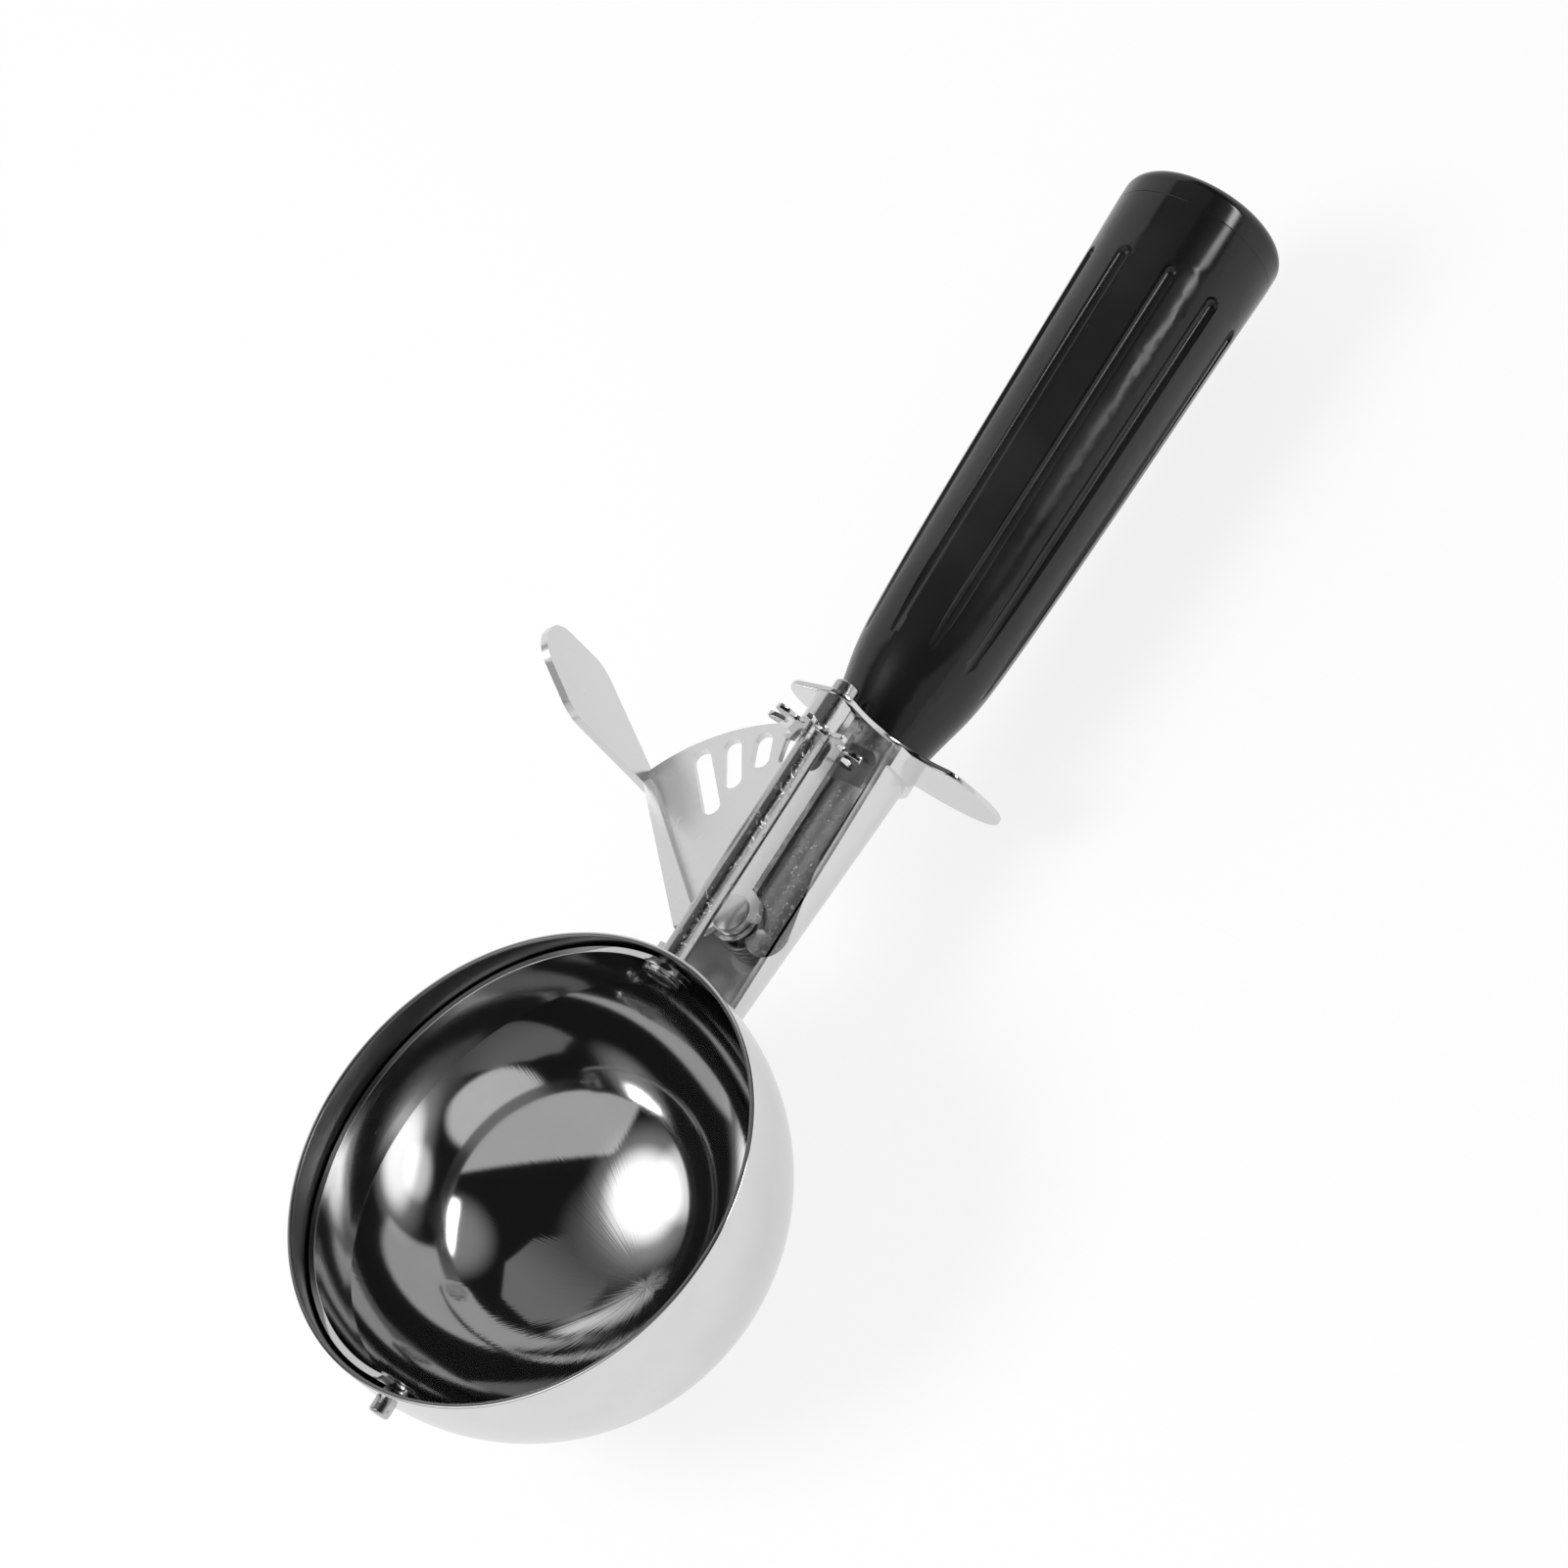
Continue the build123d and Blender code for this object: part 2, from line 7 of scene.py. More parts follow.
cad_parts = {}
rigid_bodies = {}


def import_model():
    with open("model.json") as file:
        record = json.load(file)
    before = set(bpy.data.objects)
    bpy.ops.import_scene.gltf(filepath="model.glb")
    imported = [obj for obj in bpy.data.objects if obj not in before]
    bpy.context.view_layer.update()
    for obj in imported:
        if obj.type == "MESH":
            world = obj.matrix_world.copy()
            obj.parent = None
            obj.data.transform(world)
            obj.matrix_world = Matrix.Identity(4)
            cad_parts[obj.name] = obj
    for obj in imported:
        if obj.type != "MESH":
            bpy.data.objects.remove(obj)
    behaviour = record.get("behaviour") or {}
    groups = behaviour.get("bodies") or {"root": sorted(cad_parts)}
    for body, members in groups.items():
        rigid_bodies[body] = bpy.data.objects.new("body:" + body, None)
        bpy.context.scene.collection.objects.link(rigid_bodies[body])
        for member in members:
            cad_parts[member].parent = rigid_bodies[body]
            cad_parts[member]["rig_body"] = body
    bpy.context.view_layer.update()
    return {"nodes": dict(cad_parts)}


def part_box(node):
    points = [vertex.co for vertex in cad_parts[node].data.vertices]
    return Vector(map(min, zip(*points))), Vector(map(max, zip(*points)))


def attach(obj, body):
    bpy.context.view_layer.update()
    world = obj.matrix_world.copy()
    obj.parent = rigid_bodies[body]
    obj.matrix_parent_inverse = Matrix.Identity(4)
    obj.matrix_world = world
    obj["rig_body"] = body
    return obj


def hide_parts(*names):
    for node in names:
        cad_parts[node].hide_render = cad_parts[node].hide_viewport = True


# Looks of a lever ice cream scoop.  Metres, in the part's own frame: the origin
# is the centre of the bowl's rim, +Z is the way the bowl opens and +X runs from
# the bowl to the handle.  Angles are in degrees.

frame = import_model()
MM = 0.001

# ---- points this near to a plane or a curve count as on it
NEAR = 0.05 * MM

# ---- bowl: half a sphere up to AXIS_Z, where the blade turns about a line along X,
# and a straight collar above, rougher and painted dark inside (painted shade) from ROUGH_SHADE_FADE
# below it
AXIS_Z = -4.6 * MM
BOWL_RADIUS = 35.6 * MM
BOWL_WALL = 0.8 * MM
BOWL_RIM_ROUND = 0.3 * MM
TIP_HOLE_RADIUS = 1.55 * MM
SHAFT_HOLE_RADIUS = 1.95 * MM
DRILL_LENGTH = 10 * MM
ROUGH_SHADE_FADE = 1.2 * MM

# ---- blade, thickened toward the middle of the bowl
BLADE_INNER = 33.9 * MM
BLADE_ADDED = 0.45 * MM

# ---- rivet and the lever's round end; shares of the drawn size that are left
PIVOT_X = 47.0 * MM
RIVET_HEAD_HEIGHT = 1.4 * MM
RIVET_FOOT_HEIGHT = 0.8 * MM
HEAD_FLATTENING = 0.5
HEAD_NARROWING = 0.88
FOOT_FLATTENING = 0.5
FOOT_NARROWING = 0.75
NOSE_REACH = 6.0 * MM
NOSE_NARROWING = 0.68

# ---- shank: its middle line runs from start to end, each an X and a Z
SHANK_RADIUS = 8.0 * MM
SHANK_WALL = 1.0 * MM
SHANK_START = (31.0 * MM, -11.9 * MM)
SHANK_END = (80.0 * MM, -15.6 * MM)
WALL_BLEND = 0.2 * MM
PAD_RADIUS = 4.6 * MM
PAD_NARROWING = 0.5
PAD_LIFT = 1.2 * MM

# ---- guide strip, tilted outside of a line along X
STRIP_HINGE_Y = -0.6 * MM
STRIP_TILT = 5.0

# ---- copies of nodes: how near points and how level faces are joined, and how
# sharp an edge is rounded
MERGE_DISTANCE = 1e-6
LEVEL_ANGLE = 0.3
SHARP_ANGLE = 35.0
EDGE_SEGMENTS = 3

# ---- flat shading: a broad face has at least this area and this many corners, and
# it is shaded flat with all faces whose normals agree with its own to the cosine
BROAD_FACE = 5e-6
PLATE_CORNERS = 4
OTHER_CORNERS = 13
FLAT_COSINE = 0.9998
FACE_WEIGHT = 80
PLATES = ("thumb_lever", "guard_plate", "guide_strip", "star_pinion")

# ---- finishes: share of metal in the pale steels, depth of each finish's relief
LEVER_METALLIC = 0.74
CHANNEL_METALLIC = 0.6
WIPE_DEPTH = 0.4e-6
DRAWN_DEPTH = 0.8e-6
SCRATCH_DEPTH = 2e-6
SPUN_DEPTH = 5e-6
PIT_DEPTH = 60e-6
WIRE_DEPTH = 2e-6
RIPPLE_DEPTH = 20e-6

# ---- pieces with rounded edges: node, width of the rounding in MM, finish, slot
ROUNDED = (
    ("scraper_blade", 0.3, "polished", "polished_steel"),
    ("tip_pin", 0.1, "plated", "plated_steel"),
    ("tip_keeper", 0.12, "plated", "plated_steel"),
    ("blade_shaft", 0.1, "plated", "plated_steel"),
    ("shaft_keeper", 0.12, "plated", "plated_steel"),
    ("star_pinion", 0.15, "polished", "polished_steel"),
    ("pinion_hub", 0.15, "brushed", "plated_steel"),
    ("thumb_lever", 0.42, "pressed", "polished_steel"),
    ("pivot_rivet", 0.2, "satin", "polished_steel"),
    ("pivot_sleeve", 0.1, "plated", "plated_steel"),
    ("pivot_washer", 0.08, "plated", "plated_steel"),
    ("shank", 0.15, "drawn", "polished_steel"),
    ("guide_strip", 0.3, "plated", "polished_steel"),
    ("guard_plate", 0.2, "polished", "polished_steel"),
    ("handle_grip", 0.3, "plastic", "grip_plastic"),
    ("end_cap", 0.15, "plastic", "grip_plastic"),
)

# ---- nodes that only get a finish
KEPT_NODES = (("return_spring", "wire"), ("tang", "plated"))

# ---- studio, as metal mirrors it: a direction is an azimuth from +X toward +Y and
# an elevation, a round light adds its inner and outer half angle, and every level is
# a share of the sky's tone
SKY_TONE = 0.8
ROOM_LEVEL = 0.012
MATT_LEVEL = 0.6
ROOF_GLOW = (120, 77, 12, 33)
ROOF_LEVEL = 0.12
SWEEP_EDGE = (64, 54.5)
SWEEP_ROUND = (57, 20, 33, 40)
SWEEP_LEVEL = 0.82
CARD_EDGES = ((205, 54.3), (255.6, 72.7))
CARD_LEVEL = 0.52
EIGHT_SIDED_PLACE = (-3, 64)
EIGHT_SIDED_HALF = 21.5
EIGHT_SIDED_LEVEL = 0.2
EIGHT_SIDED_DIM = 0.35
EIGHT_SIDED_FADE = (1.2, -0.5)
LONG_BOX_PLACE = (-55, 23)
LONG_BOX_HALVES = (10, 4)
LONG_BOX_BLUR = 0.5
LONG_BOX_LEVEL = 14.0
SPOTS = (
    (0.28, (-51, 27, 4, 22)),
    (1.5, (148, 62, 9, 23)),
    (0.3, (145, 60, 15, 34)),
    (0.8, (135, 43, 6, 17)),
)
HORIZON_LOW = 9
HORIZON_HIGH = 13
HORIZON_LEVEL = 0.86

# ---- how soft lights end: a straight edge as an angle, a box's side as a share of
# its half width, and a panel seen from its side below this cosine
EDGE_BLUR = 1.5
SIDE_BLUR = 0.03
GRAZING = 0.05

# ---- floor: its own tone, and the glow that makes it white to the eye and in metal
FLOOR_Z = -40.2 * MM
FLOOR_SIZE = 4.0
FLOOR_TONE = 0.2
FLOOR_SEEN = 0.82
FLOOR_MIRRORED = 0.66

# ---- camera; right, up and back are the directions of its own axes
CAMERA_PLACE = Vector((-75.838, -319.762, 381.831)) * MM
CAMERA_RIGHT = (0.5222, -0.7410, -0.4221)
CAMERA_UP = (0.8084, 0.2724, 0.5218)
CAMERA_BACK = (-0.2717, -0.6137, 0.7413)
LENS = 85.34
SENSOR = 36.0
NEAREST_SEEN = 0.01
FARTHEST_SEEN = 10.0


# ---------------------------------------------------------------- shader maths


class Value:
    """A number in a shader; arithmetic on it adds Math nodes."""

    def __init__(self, shader, socket):
        self.shader = shader
        self.socket = socket

    def __add__(self, other):
        return self.shader.maths("ADD", self, other)

    def __radd__(self, other):
        return self.shader.maths("ADD", other, self)

    def __sub__(self, other):
        return self.shader.maths("SUBTRACT", self, other)

    def __rsub__(self, other):
        return self.shader.maths("SUBTRACT", other, self)

    def __mul__(self, other):
        return self.shader.maths("MULTIPLY", self, other)

    def __rmul__(self, other):
        return self.shader.maths("MULTIPLY", other, self)

    def __truediv__(self, other):
        return self.shader.maths("DIVIDE", self, other)

    def __abs__(self):
        return self.shader.maths("ABSOLUTE", self)


class Shader:
    """The node tree of a material or of the world."""

    def __init__(self, owner):
        owner.use_nodes = True
        self.tree = owner.node_tree
        self.tree.nodes.clear()

    def node(self, kind, settings=None, inputs=None):
        """Adds a node: its settings first, then values or links for its sockets."""
        node = self.tree.nodes.new(kind)
        for name, value in (settings or {}).items():
            setattr(node, name, value)
        for key, value in (inputs or {}).items():
            self.feed(node.inputs[key], value)
        return node

    def feed(self, socket, value):
        """Links a value to a socket, or sets the socket to a plain number or colour."""
        if isinstance(value, Value):
            self.tree.links.new(value.socket, socket)
        elif isinstance(value, bpy.types.NodeSocket):
            self.tree.links.new(value, socket)
        else:
            socket.default_value = value

    def maths(self, operation, *terms):
        node = self.node("ShaderNodeMath", {"operation": operation}, dict(enumerate(terms)))
        return Value(self, node.outputs[0])

    def greater(self, first, second):
        return self.maths("MAXIMUM", first, second)

    def rise(self, value, start, end):
        """0 before start, 1 after end and smooth between them."""
        node = self.node(
            "ShaderNodeMapRange",
            {"interpolation_type": "SMOOTHSTEP"},
            {"Value": value, "From Min": start, "From Max": end},
        )
        return Value(self, node.outputs["Result"])

    def blend(self, share, low, high):
        """The number low where share is 0 and high where it is 1."""
        node = self.node(
            "ShaderNodeMix", {"data_type": "FLOAT"}, {"Factor": share, "A": low, "B": high}
        )
        return Value(self, node.outputs["Result"])

    def tint(self, share, low, high):
        """The colour low where share is 0 and high where it is 1."""
        node = self.node("ShaderNodeMix", {"data_type": "RGBA"}, {0: share, 6: low, 7: high})
        return node.outputs[2]

    def position(self):
        return self.node("ShaderNodeTexCoord").outputs["Object"]

    def dot(self, vector, direction):
        node = self.node(
            "ShaderNodeVectorMath", {"operation": "DOT_PRODUCT"}, {0: vector, 1: direction}
        )
        return Value(self, node.outputs["Value"])

    def axes(self, vector):
        """The three coordinates of a vector."""
        node = self.node("ShaderNodeSeparateXYZ", None, {0: vector})
        return [Value(self, output) for output in node.outputs]

    def stretched(self, vector, scale, turn=(0, 0, 0)):
        """The vector turned and scaled."""
        node = self.node(
            "ShaderNodeMapping",
            {"vector_type": "POINT"},
            {"Vector": vector, "Rotation": turn, "Scale": scale},
        )
        return node.outputs[0]

    def noise(self, vector, scale, detail=2.0, rough=0.5):
        node = self.node(
            "ShaderNodeTexNoise",
            None,
            {"Vector": vector, "Scale": scale, "Detail": detail, "Roughness": rough},
        )
        return Value(self, node.outputs[0])

    def bump(self, height, depth):
        """Normal of a surface raised by height times depth in metres."""
        node = self.node("ShaderNodeBump", None, {"Height": height, "Distance": depth})
        return node.outputs[0]

    def surface(self, inputs):
        """Ends the tree with a Principled shader."""
        shader = self.node("ShaderNodeBsdfPrincipled", None, inputs)
        self.node("ShaderNodeOutputMaterial", None, {"Surface": shader.outputs[0]})


def grey(level):
    return (level, level, level, 1.0)


def start_finish(name):
    """A new material, its shader and the place on the piece."""
    material = bpy.data.materials.new(name)
    shader = Shader(material)
    return material, shader, shader.position()


# ------------------------------------------------------------------- materials


def polished_steel(name, shine=0.07, wear=0.06):
    """Polished steel with fine wipe marks along X and faint clouding."""
    material, shader, place = start_finish(name)
    clouds = shader.noise(place, 90.0, 3.0)
    wipes = shader.noise(shader.stretched(place, (260, 4000, 4000)), 1.0, 3.0)
    marks = shader.rise(wipes, 0.56, 0.74)
    shader.surface(
        {
            "Base Color": shader.tint(clouds, grey(0.76), grey(0.84)),
            "Metallic": 1.0,
            "Roughness": shine + 0.5 * wear * clouds + wear * marks,
            "Normal": shader.bump(wipes, WIPE_DEPTH),
        }
    )
    return material


def inside_channel(shader, place):
    """1 inside the middle of the shank's wall and 0 outside it."""
    along, across, height = shader.axes(place)
    slope = (SHANK_END[1] - SHANK_START[1]) / (SHANK_END[0] - SHANK_START[0])
    above = height - (along - SHANK_START[0]) * slope - SHANK_START[1]
    distance = shader.maths("SQRT", across * across + above * above)
    middle = SHANK_RADIUS - 0.5 * SHANK_WALL
    return shader.rise(distance, middle + WALL_BLEND, middle - WALL_BLEND)


def channel_steel(name):
    """Steel of the shank: softly polished outside, duller from drawing inside the channel."""
    material, shader, place = start_finish(name)
    inside = inside_channel(shader, place)
    drawn = shader.noise(shader.stretched(place, (120, 3000, 3000)), 1.0, 3.0)
    clouds = shader.noise(place, 160.0, 3.0)
    shader.surface(
        {
            "Base Color": shader.tint(clouds, grey(0.78), grey(0.88)),
            "Metallic": 1 - (1 - CHANNEL_METALLIC) * inside,
            "Roughness": 0.14 + 0.06 * clouds + 0.06 * drawn + 0.1 * inside,
            "Normal": shader.bump(drawn, DRAWN_DEPTH),
        }
    )
    return material


def pressed_steel(name):
    """Satin sheet steel of the lever: pale, with short criss-cross scratches."""
    material, shader, place = start_finish(name)
    clouds = shader.noise(place, 120.0, 4.0)
    first = shader.noise(shader.stretched(place, (300, 5000, 2500), (0, 0, 0.5)), 1.0, 3.0)
    second = shader.noise(shader.stretched(place, (5000, 350, 2500), (0, 0, -0.4)), 1.0, 3.0)
    scratches = shader.greater(shader.rise(first, 0.6, 0.75), shader.rise(second, 0.62, 0.75))
    shader.surface(
        {
            "Base Color": shader.tint(clouds, grey(0.92), grey(0.98)),
            "Metallic": LEVER_METALLIC,
            "Roughness": 0.2 + 0.05 * clouds + 0.05 * scratches,
            "Normal": shader.bump(clouds + 0.04 * scratches, SCRATCH_DEPTH),
        }
    )
    return material


def rough_shaded_collar(shader, east, north, height):
    """1 on the inner wall of the bowl's collar, fading out just below it; it makes the wall rougher
    and, as painted shade, darker.
    """
    inner_wall = shader.rise(
        east * east + north * north,
        (BOWL_RADIUS - 0.2 * BOWL_WALL) ** 2,
        (BOWL_RADIUS - 0.6 * BOWL_WALL) ** 2,
    )
    return inner_wall * shader.rise(height, AXIS_Z - ROUGH_SHADE_FADE, AXIS_Z)


def spun_steel(name):
    """Bowl steel: mirror polished across the spinning marks, its collar rougher inside and painted
    dark there as painted shade.
    """
    material, shader, place = start_finish(name)
    east, north, height = shader.axes(place)
    # the collar's inner wall: a rougher finish, and painted shade in its colour
    dull = rough_shaded_collar(shader, east, north, height)
    clouds = shader.noise(place, 140.0, 4.0)
    patches = shader.rise(shader.noise(place, 45.0, 2.0), 0.4, 0.65)
    rings = shader.noise(shader.stretched(place, (30, 30, 5000)), 1.0, 3.0, 0.6)
    marks = shader.rise(rings, 0.5, 0.7) * patches
    bearing = shader.maths("ARCTAN2", north, east)
    fan = shader.node("ShaderNodeCombineXYZ", None, {0: bearing * 90.0, 1: height * 40.0})
    streaks = shader.noise(fan.outputs[0], 1.0, 0.0)
    polished = shader.tint(clouds, grey(0.76), grey(0.84))
    shader.surface(
        {
            # painted shade: the collar's inner wall is painted dark grey
            "Base Color": shader.tint(dull, polished, grey(0.25)),
            "Metallic": 1.0,
            "Roughness": 0.05 + 0.02 * clouds + 0.02 * marks + 0.2 * dull,
            "Normal": shader.bump(streaks * patches, SPUN_DEPTH),
        }
    )
    return material


def plated_steel(name):
    """Bright plating over steel that is finely pitted, so that it sparkles between its bands."""
    material, shader, place = start_finish(name)
    fine = shader.noise(place, 1500.0, 2.0)
    coarse = shader.noise(place, 500.0, 3.0)
    pits = shader.rise(fine, 0.55, 0.75) * shader.rise(coarse, 0.35, 0.6)
    shader.surface(
        {
            "Base Color": shader.tint(pits, grey(0.6), grey(0.42)),
            "Metallic": 1.0,
            "Roughness": 0.17 + 0.1 * coarse + 0.15 * pits,
            "Normal": shader.bump(coarse * 0.3 - pits, PIT_DEPTH),
        }
    )
    return material


def spring_steel(name):
    """Drawn wire, dull and slightly brushed."""
    material, shader, place = start_finish(name)
    drawn = shader.noise(shader.stretched(place, (900, 900, 5000)), 1.0, 3.0)
    shader.surface(
        {
            "Base Color": shader.tint(drawn, grey(0.3), grey(0.45)),
            "Metallic": 1.0,
            "Roughness": 0.22 + 0.14 * drawn,
            "Normal": shader.bump(drawn, WIRE_DEPTH),
        }
    )
    return material


def grip_plastic(name):
    """Black moulded plastic, semi-gloss, with a faint moulding ripple and handling marks."""
    material, shader, place = start_finish(name)
    ripple = shader.noise(place, 60.0, 2.0)
    grain = shader.noise(place, 1400.0, 4.0)
    rubbed = shader.rise(shader.noise(place, 45.0, 3.0), 0.45, 0.7)
    shader.surface(
        {
            "Base Color": shader.tint(rubbed, grey(0.014), grey(0.022)),
            "Roughness": 0.12 + 0.05 * grain + 0.06 * rubbed,
            "Normal": shader.bump(ripple + 0.05 * grain, RIPPLE_DEPTH),
        }
    )
    return material


def finishes():
    """The materials, by the name of the finish."""
    return {
        "polished": polished_steel("polished_steel"),
        "brushed": polished_steel("brushed_steel", shine=0.18, wear=0.12),
        "satin": polished_steel("satin_rivet_steel", shine=0.3, wear=0.1),
        "pressed": pressed_steel("pressed_lever_steel"),
        "spun": spun_steel("spun_bowl_steel"),
        "drawn": channel_steel("drawn_channel_steel"),
        "plated": plated_steel("pitted_plating"),
        "wire": spring_steel("spring_wire"),
        "plastic": grip_plastic("black_grip_plastic"),
    }


# ------------------------------------------------------------------ modelling


def deselect():
    if bpy.context.mode != "OBJECT":
        bpy.ops.object.mode_set(mode="OBJECT")
    bpy.ops.object.select_all(action="DESELECT")


def take(piece):
    """Makes one object the only selected and active one."""
    deselect()
    piece.select_set(True)
    bpy.context.view_layer.objects.active = piece


def edit_all(piece):
    """Opens a piece in edit mode with all of it selected."""
    take(piece)
    bpy.ops.object.mode_set(mode="EDIT")
    bpy.ops.mesh.select_all(action="SELECT")


def leave_edit():
    bpy.ops.object.mode_set(mode="OBJECT")


def choose(piece, test):
    """Selects, in edit mode, the points of a piece that pass the test."""
    take(piece)
    bpy.ops.object.mode_set(mode="EDIT")
    bpy.ops.mesh.select_mode(type="VERT")
    bpy.ops.mesh.select_all(action="DESELECT")
    leave_edit()
    for vertex in piece.data.vertices:
        vertex.select = test(vertex.co)
    bpy.ops.object.mode_set(mode="EDIT")


def squeeze(piece, test, scale, centre, lift=0.0):
    """Scales the points that pass the test about a centre, then lifts them."""
    choose(piece, test)
    bpy.ops.transform.resize(value=scale, center_override=centre, orient_type="GLOBAL")
    bpy.ops.transform.translate(value=(0, 0, lift))
    leave_edit()


def modify(piece, kind, **settings):
    """Adds a modifier and applies it."""
    take(piece)
    modifier = piece.modifiers.new(kind.lower(), kind)
    for name, value in settings.items():
        setattr(modifier, name, value)
    bpy.ops.object.modifier_apply(modifier=modifier.name)


def round_edges(piece, width, segments, angle):
    """Rounds the edges whose faces meet at more than the angle."""
    modify(
        piece,
        "BEVEL",
        width=width,
        segments=segments,
        limit_method="ANGLE",
        angle_limit=math.radians(angle),
    )


def settle(piece):
    """Applies the object's place and smooths all but its sharp edges."""
    take(piece)
    bpy.ops.object.transform_apply(location=True, rotation=True, scale=True)
    bpy.ops.object.shade_smooth_by_angle(angle=math.radians(SHARP_ANGLE))


def flatten_shading(piece, fewest):
    """Shades faces in line with a broad one flat, and weighs the other normals by area.

    A broad face is a large one that has at least the fewest corners given.
    """
    faces = piece.data.polygons
    broad = [
        face.normal.copy() for face in faces if face.area > BROAD_FACE and face.loop_total >= fewest
    ]
    for face in faces:
        if any(face.normal.dot(normal) > FLAT_COSINE for normal in broad):
            face.use_smooth = False
    modify(piece, "WEIGHTED_NORMAL", mode="FACE_AREA", weight=FACE_WEIGHT, keep_sharp=True)


def join_up(piece, node, material):
    """Finishes a piece that stands for a node: its material, the node hidden, and the node's body.
    """
    piece.data.materials.clear()
    piece.data.materials.append(material)
    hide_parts(node)
    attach(piece, frame["nodes"][node]["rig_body"])


def softened(node, name, width):
    """A copy of a node, shaped where it needs it, with its sharp edges rounded."""
    piece = bpy.data.objects.new(name, frame["nodes"][node].data.copy())
    bpy.context.scene.collection.objects.link(piece)
    edit_all(piece)
    bpy.ops.mesh.remove_doubles(threshold=MERGE_DISTANCE)
    leave_edit()
    edit_all(piece)
    bpy.ops.mesh.dissolve_limited(angle_limit=math.radians(LEVEL_ANGLE))
    leave_edit()
    if node in SHAPED:
        SHAPED[node](piece)
    round_edges(piece, width, EDGE_SEGMENTS, SHARP_ANGLE)
    settle(piece)
    flatten_shading(piece, PLATE_CORNERS if node in PLATES else OTHER_CORNERS)
    return piece


# --------------------------------------------------------------------- pieces


def press_rivet(rivet):
    """Presses the rivet's head flatter and narrower, and its foot up against the shank."""
    low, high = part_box("pivot_rivet")
    foot_z = low[2]
    head_z = high[2] - RIVET_HEAD_HEIGHT
    under_head = (PIVOT_X, 0, head_z)
    narrowed = (HEAD_NARROWING, HEAD_NARROWING, 1)
    squeeze(rivet, lambda place: place.z > head_z + NEAR, (1, 1, HEAD_FLATTENING), under_head)
    squeeze(rivet, lambda place: place.z > head_z - NEAR, narrowed, under_head)
    squeeze(
        rivet,
        lambda place: place.z < foot_z + RIVET_FOOT_HEIGHT + NEAR,
        (FOOT_NARROWING, FOOT_NARROWING, FOOT_FLATTENING),
        (PIVOT_X, 0, foot_z),
        lift=PAD_LIFT + RIVET_FOOT_HEIGHT * (1 - FOOT_FLATTENING),
    )


def sink_pad(shank):
    """Draws the pad under the shank in, so that only the rivet's foot stands out below."""
    pad_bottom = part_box("pivot_rivet")[0][2] + RIVET_FOOT_HEIGHT

    def on_pad(place):
        near = math.hypot(place.x - PIVOT_X, place.y) < PAD_RADIUS + NEAR
        return near and place.z < pad_bottom + NEAR

    narrowed = (PAD_NARROWING, PAD_NARROWING, 1)
    squeeze(shank, on_pad, narrowed, (PIVOT_X, 0, pad_bottom), lift=PAD_LIFT)


def round_nose(lever):
    """Narrows the lever's round end to the rivet's head."""

    def on_nose(place):
        return place.x < PIVOT_X and abs(place.y) < NOSE_REACH and place.z < 0

    squeeze(lever, on_nose, (NOSE_NARROWING, NOSE_NARROWING, 1), (PIVOT_X, 0, 0))


def thicken_blade(blade):
    """Thickens the blade inward, so that its rounded edge shows as a band."""
    centre = Vector((0, 0, AXIS_Z))
    share = 1 - BLADE_ADDED / BLADE_INNER

    def on_inner_face(place):
        return (place - centre).length < BLADE_INNER + NEAR

    squeeze(blade, on_inner_face, (share, share, share), centre)


def tilt_strip(strip):
    """Tilts the top of the guide strip down toward its outer side."""
    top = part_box("guide_strip")[1][2]
    edit_all(strip)
    bpy.ops.mesh.bisect(plane_co=(0, STRIP_HINGE_Y, 0), plane_no=(0, 1, 0))
    leave_edit()
    choose(strip, lambda place: place.z > top - NEAR and place.y < STRIP_HINGE_Y + NEAR)
    bpy.ops.transform.rotate(
        value=math.radians(-STRIP_TILT),
        orient_axis="X",
        orient_type="GLOBAL",
        center_override=(0, STRIP_HINGE_Y, top),
    )
    leave_edit()


SHAPED = {
    "scraper_blade": thicken_blade,
    "pivot_rivet": press_rivet,
    "guide_strip": tilt_strip,
    "thumb_lever": round_nose,
    "shank": sink_pad,
}


def open_sphere():
    """A sphere cut off at the blade's axis and drawn up to the rim."""
    deselect()
    bpy.ops.mesh.primitive_uv_sphere_add(
        segments=192, ring_count=96, radius=BOWL_RADIUS, location=(0, 0, AXIS_Z)
    )
    piece = bpy.context.object
    piece.name = "bowl_shell"
    take(piece)
    bpy.ops.object.transform_apply(location=True)
    edit_all(piece)
    bpy.ops.mesh.bisect(plane_co=(0, 0, AXIS_Z), plane_no=(0, 0, 1), clear_outer=True)
    bpy.ops.mesh.select_mode(type="EDGE")
    bpy.ops.mesh.region_to_loop()
    bpy.ops.mesh.extrude_region_move(TRANSFORM_OT_translate={"value": (0, 0, -AXIS_Z)})
    leave_edit()
    return piece


def drill(piece, x, radius):
    """Drills a hole along X through the bowl's wall, on the blade's axis."""
    deselect()
    bpy.ops.mesh.primitive_cylinder_add(
        vertices=48,
        radius=radius,
        depth=DRILL_LENGTH,
        location=(x, 0, AXIS_Z),
        rotation=(0, math.pi / 2, 0),
    )
    cutter = bpy.context.object
    modify(piece, "BOOLEAN", object=cutter, operation="DIFFERENCE", solver="EXACT")
    bpy.data.objects.remove(cutter)


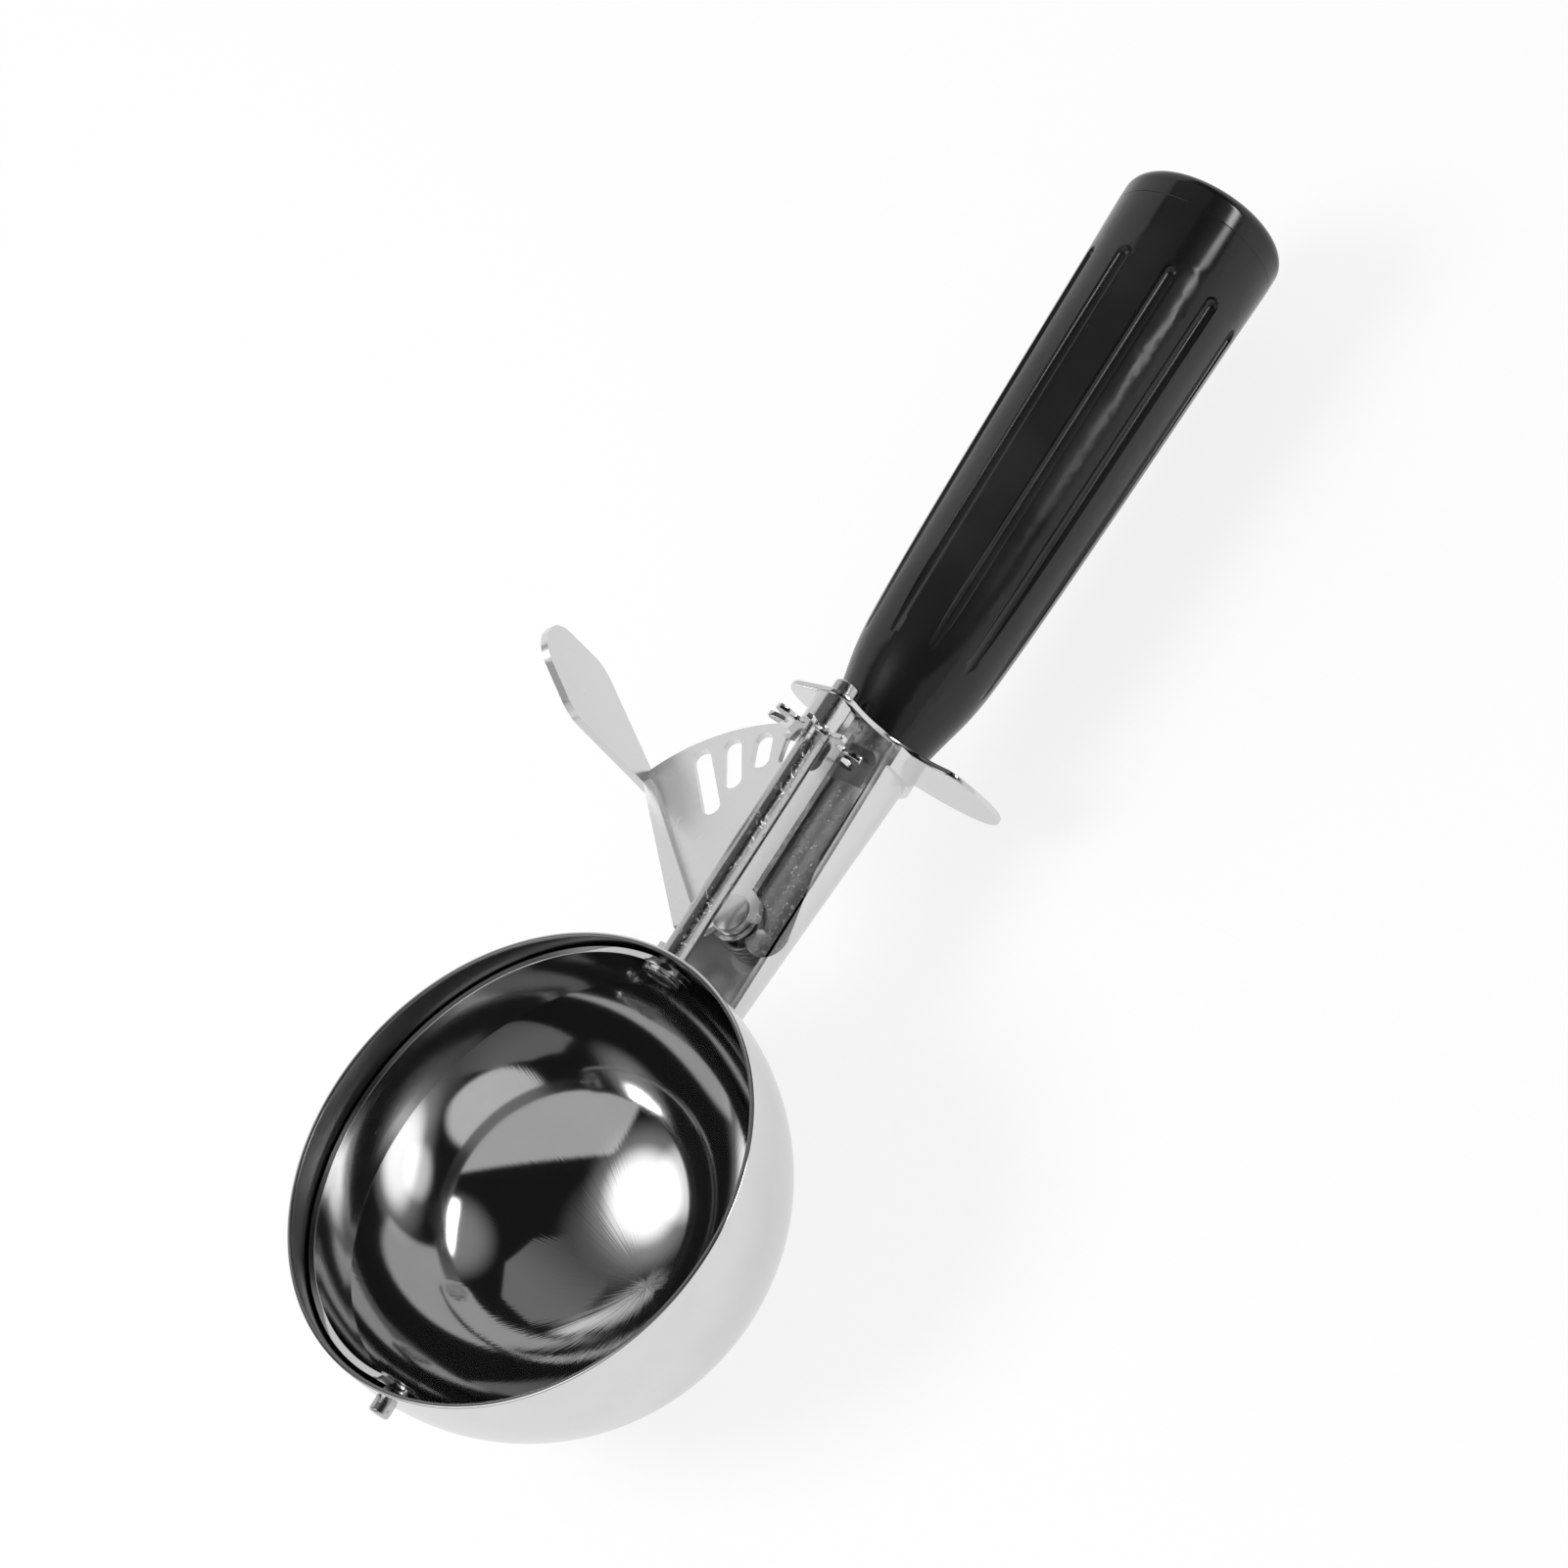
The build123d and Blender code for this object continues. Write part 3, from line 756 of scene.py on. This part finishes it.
def bowl_shell():
    """The bowl: an open sphere with a wall, a rounded rim and its two holes."""
    piece = open_sphere()
    modify(piece, "SOLIDIFY", thickness=BOWL_WALL, offset=-1.0, use_even_offset=True)
    round_edges(piece, BOWL_RIM_ROUND, segments=4, angle=60)
    drill(piece, -BOWL_RADIUS, TIP_HOLE_RADIUS)
    drill(piece, BOWL_RADIUS, SHAFT_HOLE_RADIUS)
    settle(piece)
    return piece


# ------------------------------------------------------------ light and camera


def sine(angle):
    return math.sin(math.radians(angle))


def cosine(angle):
    return math.cos(math.radians(angle))


def tangent(angle):
    return math.tan(math.radians(angle))


def sky_point(azimuth, elevation):
    """Unit vector of a direction."""
    level = cosine(elevation)
    return Vector((level * cosine(azimuth), level * sine(azimuth), sine(elevation)))


def round_glow(shader, way, azimuth, elevation, inner, outer):
    """Round light: 1 inside the inner half angle, fading to 0 at the outer one."""
    facing = shader.dot(way, sky_point(azimuth, elevation))
    return shader.rise(facing, cosine(outer), cosine(inner))


def below_edge(shader, way, azimuth, elevation):
    """1 below a straight edge that runs level through a direction, and 0 above it."""
    over = sky_point(azimuth + 180, 90 - elevation)
    blur = sine(EDGE_BLUR)
    return shader.rise(shader.dot(way, over), blur, -blur)


def panel_axes(shader, way, azimuth, elevation):
    """Two coordinates on a flat panel that faces the object, and 1 in front of it."""
    middle = sky_point(azimuth, elevation)
    side = Vector((0, 0, 1)).cross(middle).normalized()
    up = middle.cross(side)
    facing = shader.greater(shader.dot(way, middle), GRAZING)
    in_front = shader.rise(facing, GRAZING, 3 * GRAZING)
    return shader.dot(way, side) / facing, shader.dot(way, up) / facing, in_front


def long_box(shader, way):
    """Long softbox with soft edges."""
    across, along, in_front = panel_axes(shader, way, *LONG_BOX_PLACE)
    wide, high = (tangent(angle) for angle in LONG_BOX_HALVES)
    blur = LONG_BOX_BLUR
    mask = shader.rise(abs(across), wide * (1 + blur), wide * (1 - blur))
    mask = mask * shader.rise(abs(along), high * (1 + blur), high * (1 - blur))
    return mask * in_front


def eight_sided_box(shader, way):
    """Eight-sided softbox that falls to its dim share toward the upper side."""
    across, along, in_front = panel_axes(shader, way, *EIGHT_SIDED_PLACE)
    half = tangent(EIGHT_SIDED_HALF)
    turned = math.sqrt(0.5)
    reach = shader.greater(abs(across), abs(along))
    reach = shader.greater(reach, abs(across + along) * turned)
    reach = shader.greater(reach, abs(across - along) * turned)
    mask = shader.rise(reach, half * (1 + SIDE_BLUR), half * (1 - SIDE_BLUR)) * in_front
    dimmest, brightest = EIGHT_SIDED_FADE
    fade = shader.rise(along, half * dimmest, half * brightest)
    return mask * (EIGHT_SIDED_DIM + (1 - EIGHT_SIDED_DIM) * fade)


def mirrored_light(shader, way):
    """What metal mirrors: panels and lamps in a dim room, and a bright horizon."""
    light = ROOM_LEVEL + ROOF_LEVEL * round_glow(shader, way, *ROOF_GLOW)
    sweep = below_edge(shader, way, *SWEEP_EDGE) * round_glow(shader, way, *SWEEP_ROUND)
    card = below_edge(shader, way, *CARD_EDGES[0]) * below_edge(shader, way, *CARD_EDGES[1])
    light = shader.greater(light, SWEEP_LEVEL * sweep)
    light = shader.greater(light, CARD_LEVEL * card)
    light = shader.greater(light, EIGHT_SIDED_LEVEL * eight_sided_box(shader, way))
    light = shader.greater(light, LONG_BOX_LEVEL * long_box(shader, way))
    for level, spot in SPOTS:
        light = light + level * round_glow(shader, way, *spot)
    height = shader.axes(way)[2]
    horizon = shader.rise(height, sine(HORIZON_HIGH), sine(HORIZON_LOW))
    return shader.greater(light, HORIZON_LEVEL * horizon)


def studio():
    """World: pale to the eye, a plain level for matt surfaces, and a studio for metal."""
    world = bpy.data.worlds.new("studio")
    bpy.context.scene.world = world
    world.cycles.sampling_method = "NONE"
    shader = Shader(world)
    way = shader.node("ShaderNodeTexCoord").outputs["Generated"]
    path = shader.node("ShaderNodeLightPath")
    glossy = Value(shader, path.outputs["Is Glossy Ray"])
    matt = Value(shader, path.outputs["Is Diffuse Ray"])
    level = shader.blend(glossy, 1.0, mirrored_light(shader, way))
    level = shader.blend(matt, level, MATT_LEVEL)
    sky = {"Color": grey(SKY_TONE), "Strength": level}
    background = shader.node("ShaderNodeBackground", None, sky)
    shader.node("ShaderNodeOutputWorld", None, {"Surface": background.outputs[0]})


def soft_lamp(name, azimuth, elevation, distance, size, power):
    """Round area lamp that lights matt surfaces and doesn't show in metal."""
    data = bpy.data.lights.new(name, "AREA")
    data.shape = "DISK"
    data.size = size
    data.energy = power
    lamp = bpy.data.objects.new(name, data)
    bpy.context.scene.collection.objects.link(lamp)
    way = sky_point(azimuth, elevation)
    lamp.location = way * distance
    lamp.rotation_mode = "QUATERNION"
    lamp.rotation_quaternion = way.to_track_quat("Z", "Y")
    lamp.visible_glossy = False
    lamp.visible_camera = False
    lamp.visible_transmission = False


def floor():
    """Pale floor that reads white where it is lit and keeps the object's shadow."""
    deselect()
    bpy.ops.mesh.primitive_plane_add(size=FLOOR_SIZE, location=(0, 0, FLOOR_Z))
    plane = bpy.context.object
    plane.name = "floor"
    material = bpy.data.materials.new("floor_white")
    shader = Shader(material)
    path = shader.node("ShaderNodeLightPath")
    seen, glossy, through = (
        Value(shader, path.outputs[ray])
        for ray in ("Is Camera Ray", "Is Glossy Ray", "Is Transmission Ray")
    )
    white = FLOOR_SEEN * seen + FLOOR_MIRRORED * shader.greater(glossy, through)
    shader.surface(
        {
            "Base Color": grey(FLOOR_TONE),
            "Roughness": 1.0,
            "Specular IOR Level": 0.0,
            "Emission Color": shader.tint(white, grey(0.0), grey(1.0)),
            "Emission Strength": 1.0,
        }
    )
    plane.data.materials.append(material)


def camera():
    data = bpy.data.cameras.new("camera")
    data.lens = LENS
    data.sensor_width = SENSOR
    data.clip_start = NEAREST_SEEN
    data.clip_end = FARTHEST_SEEN
    eye = bpy.data.objects.new("camera", data)
    bpy.context.scene.collection.objects.link(eye)
    turn = Matrix((CAMERA_RIGHT, CAMERA_UP, CAMERA_BACK)).transposed()
    eye.matrix_world = Matrix.Translation(CAMERA_PLACE) @ turn.to_4x4()
    bpy.context.scene.camera = eye


def main():
    camera()
    studio()
    soft_lamp("key_lamp", azimuth=143, elevation=57, distance=1.2, size=0.6, power=8.0)
    floor()
    materials = finishes()
    join_up(bowl_shell(), "bowl", materials["spun"])
    for node, width, finish, slot in ROUNDED:
        piece = softened(node, node + "_finished", width * MM)
        join_up(piece, node, materials[finish])
    for node, finish in KEPT_NODES:
        kept = frame["nodes"][node]
        kept.data.materials.clear()
        kept.data.materials.append(materials[finish])


main()
bpy.context.scene.view_settings.view_transform = "Standard"
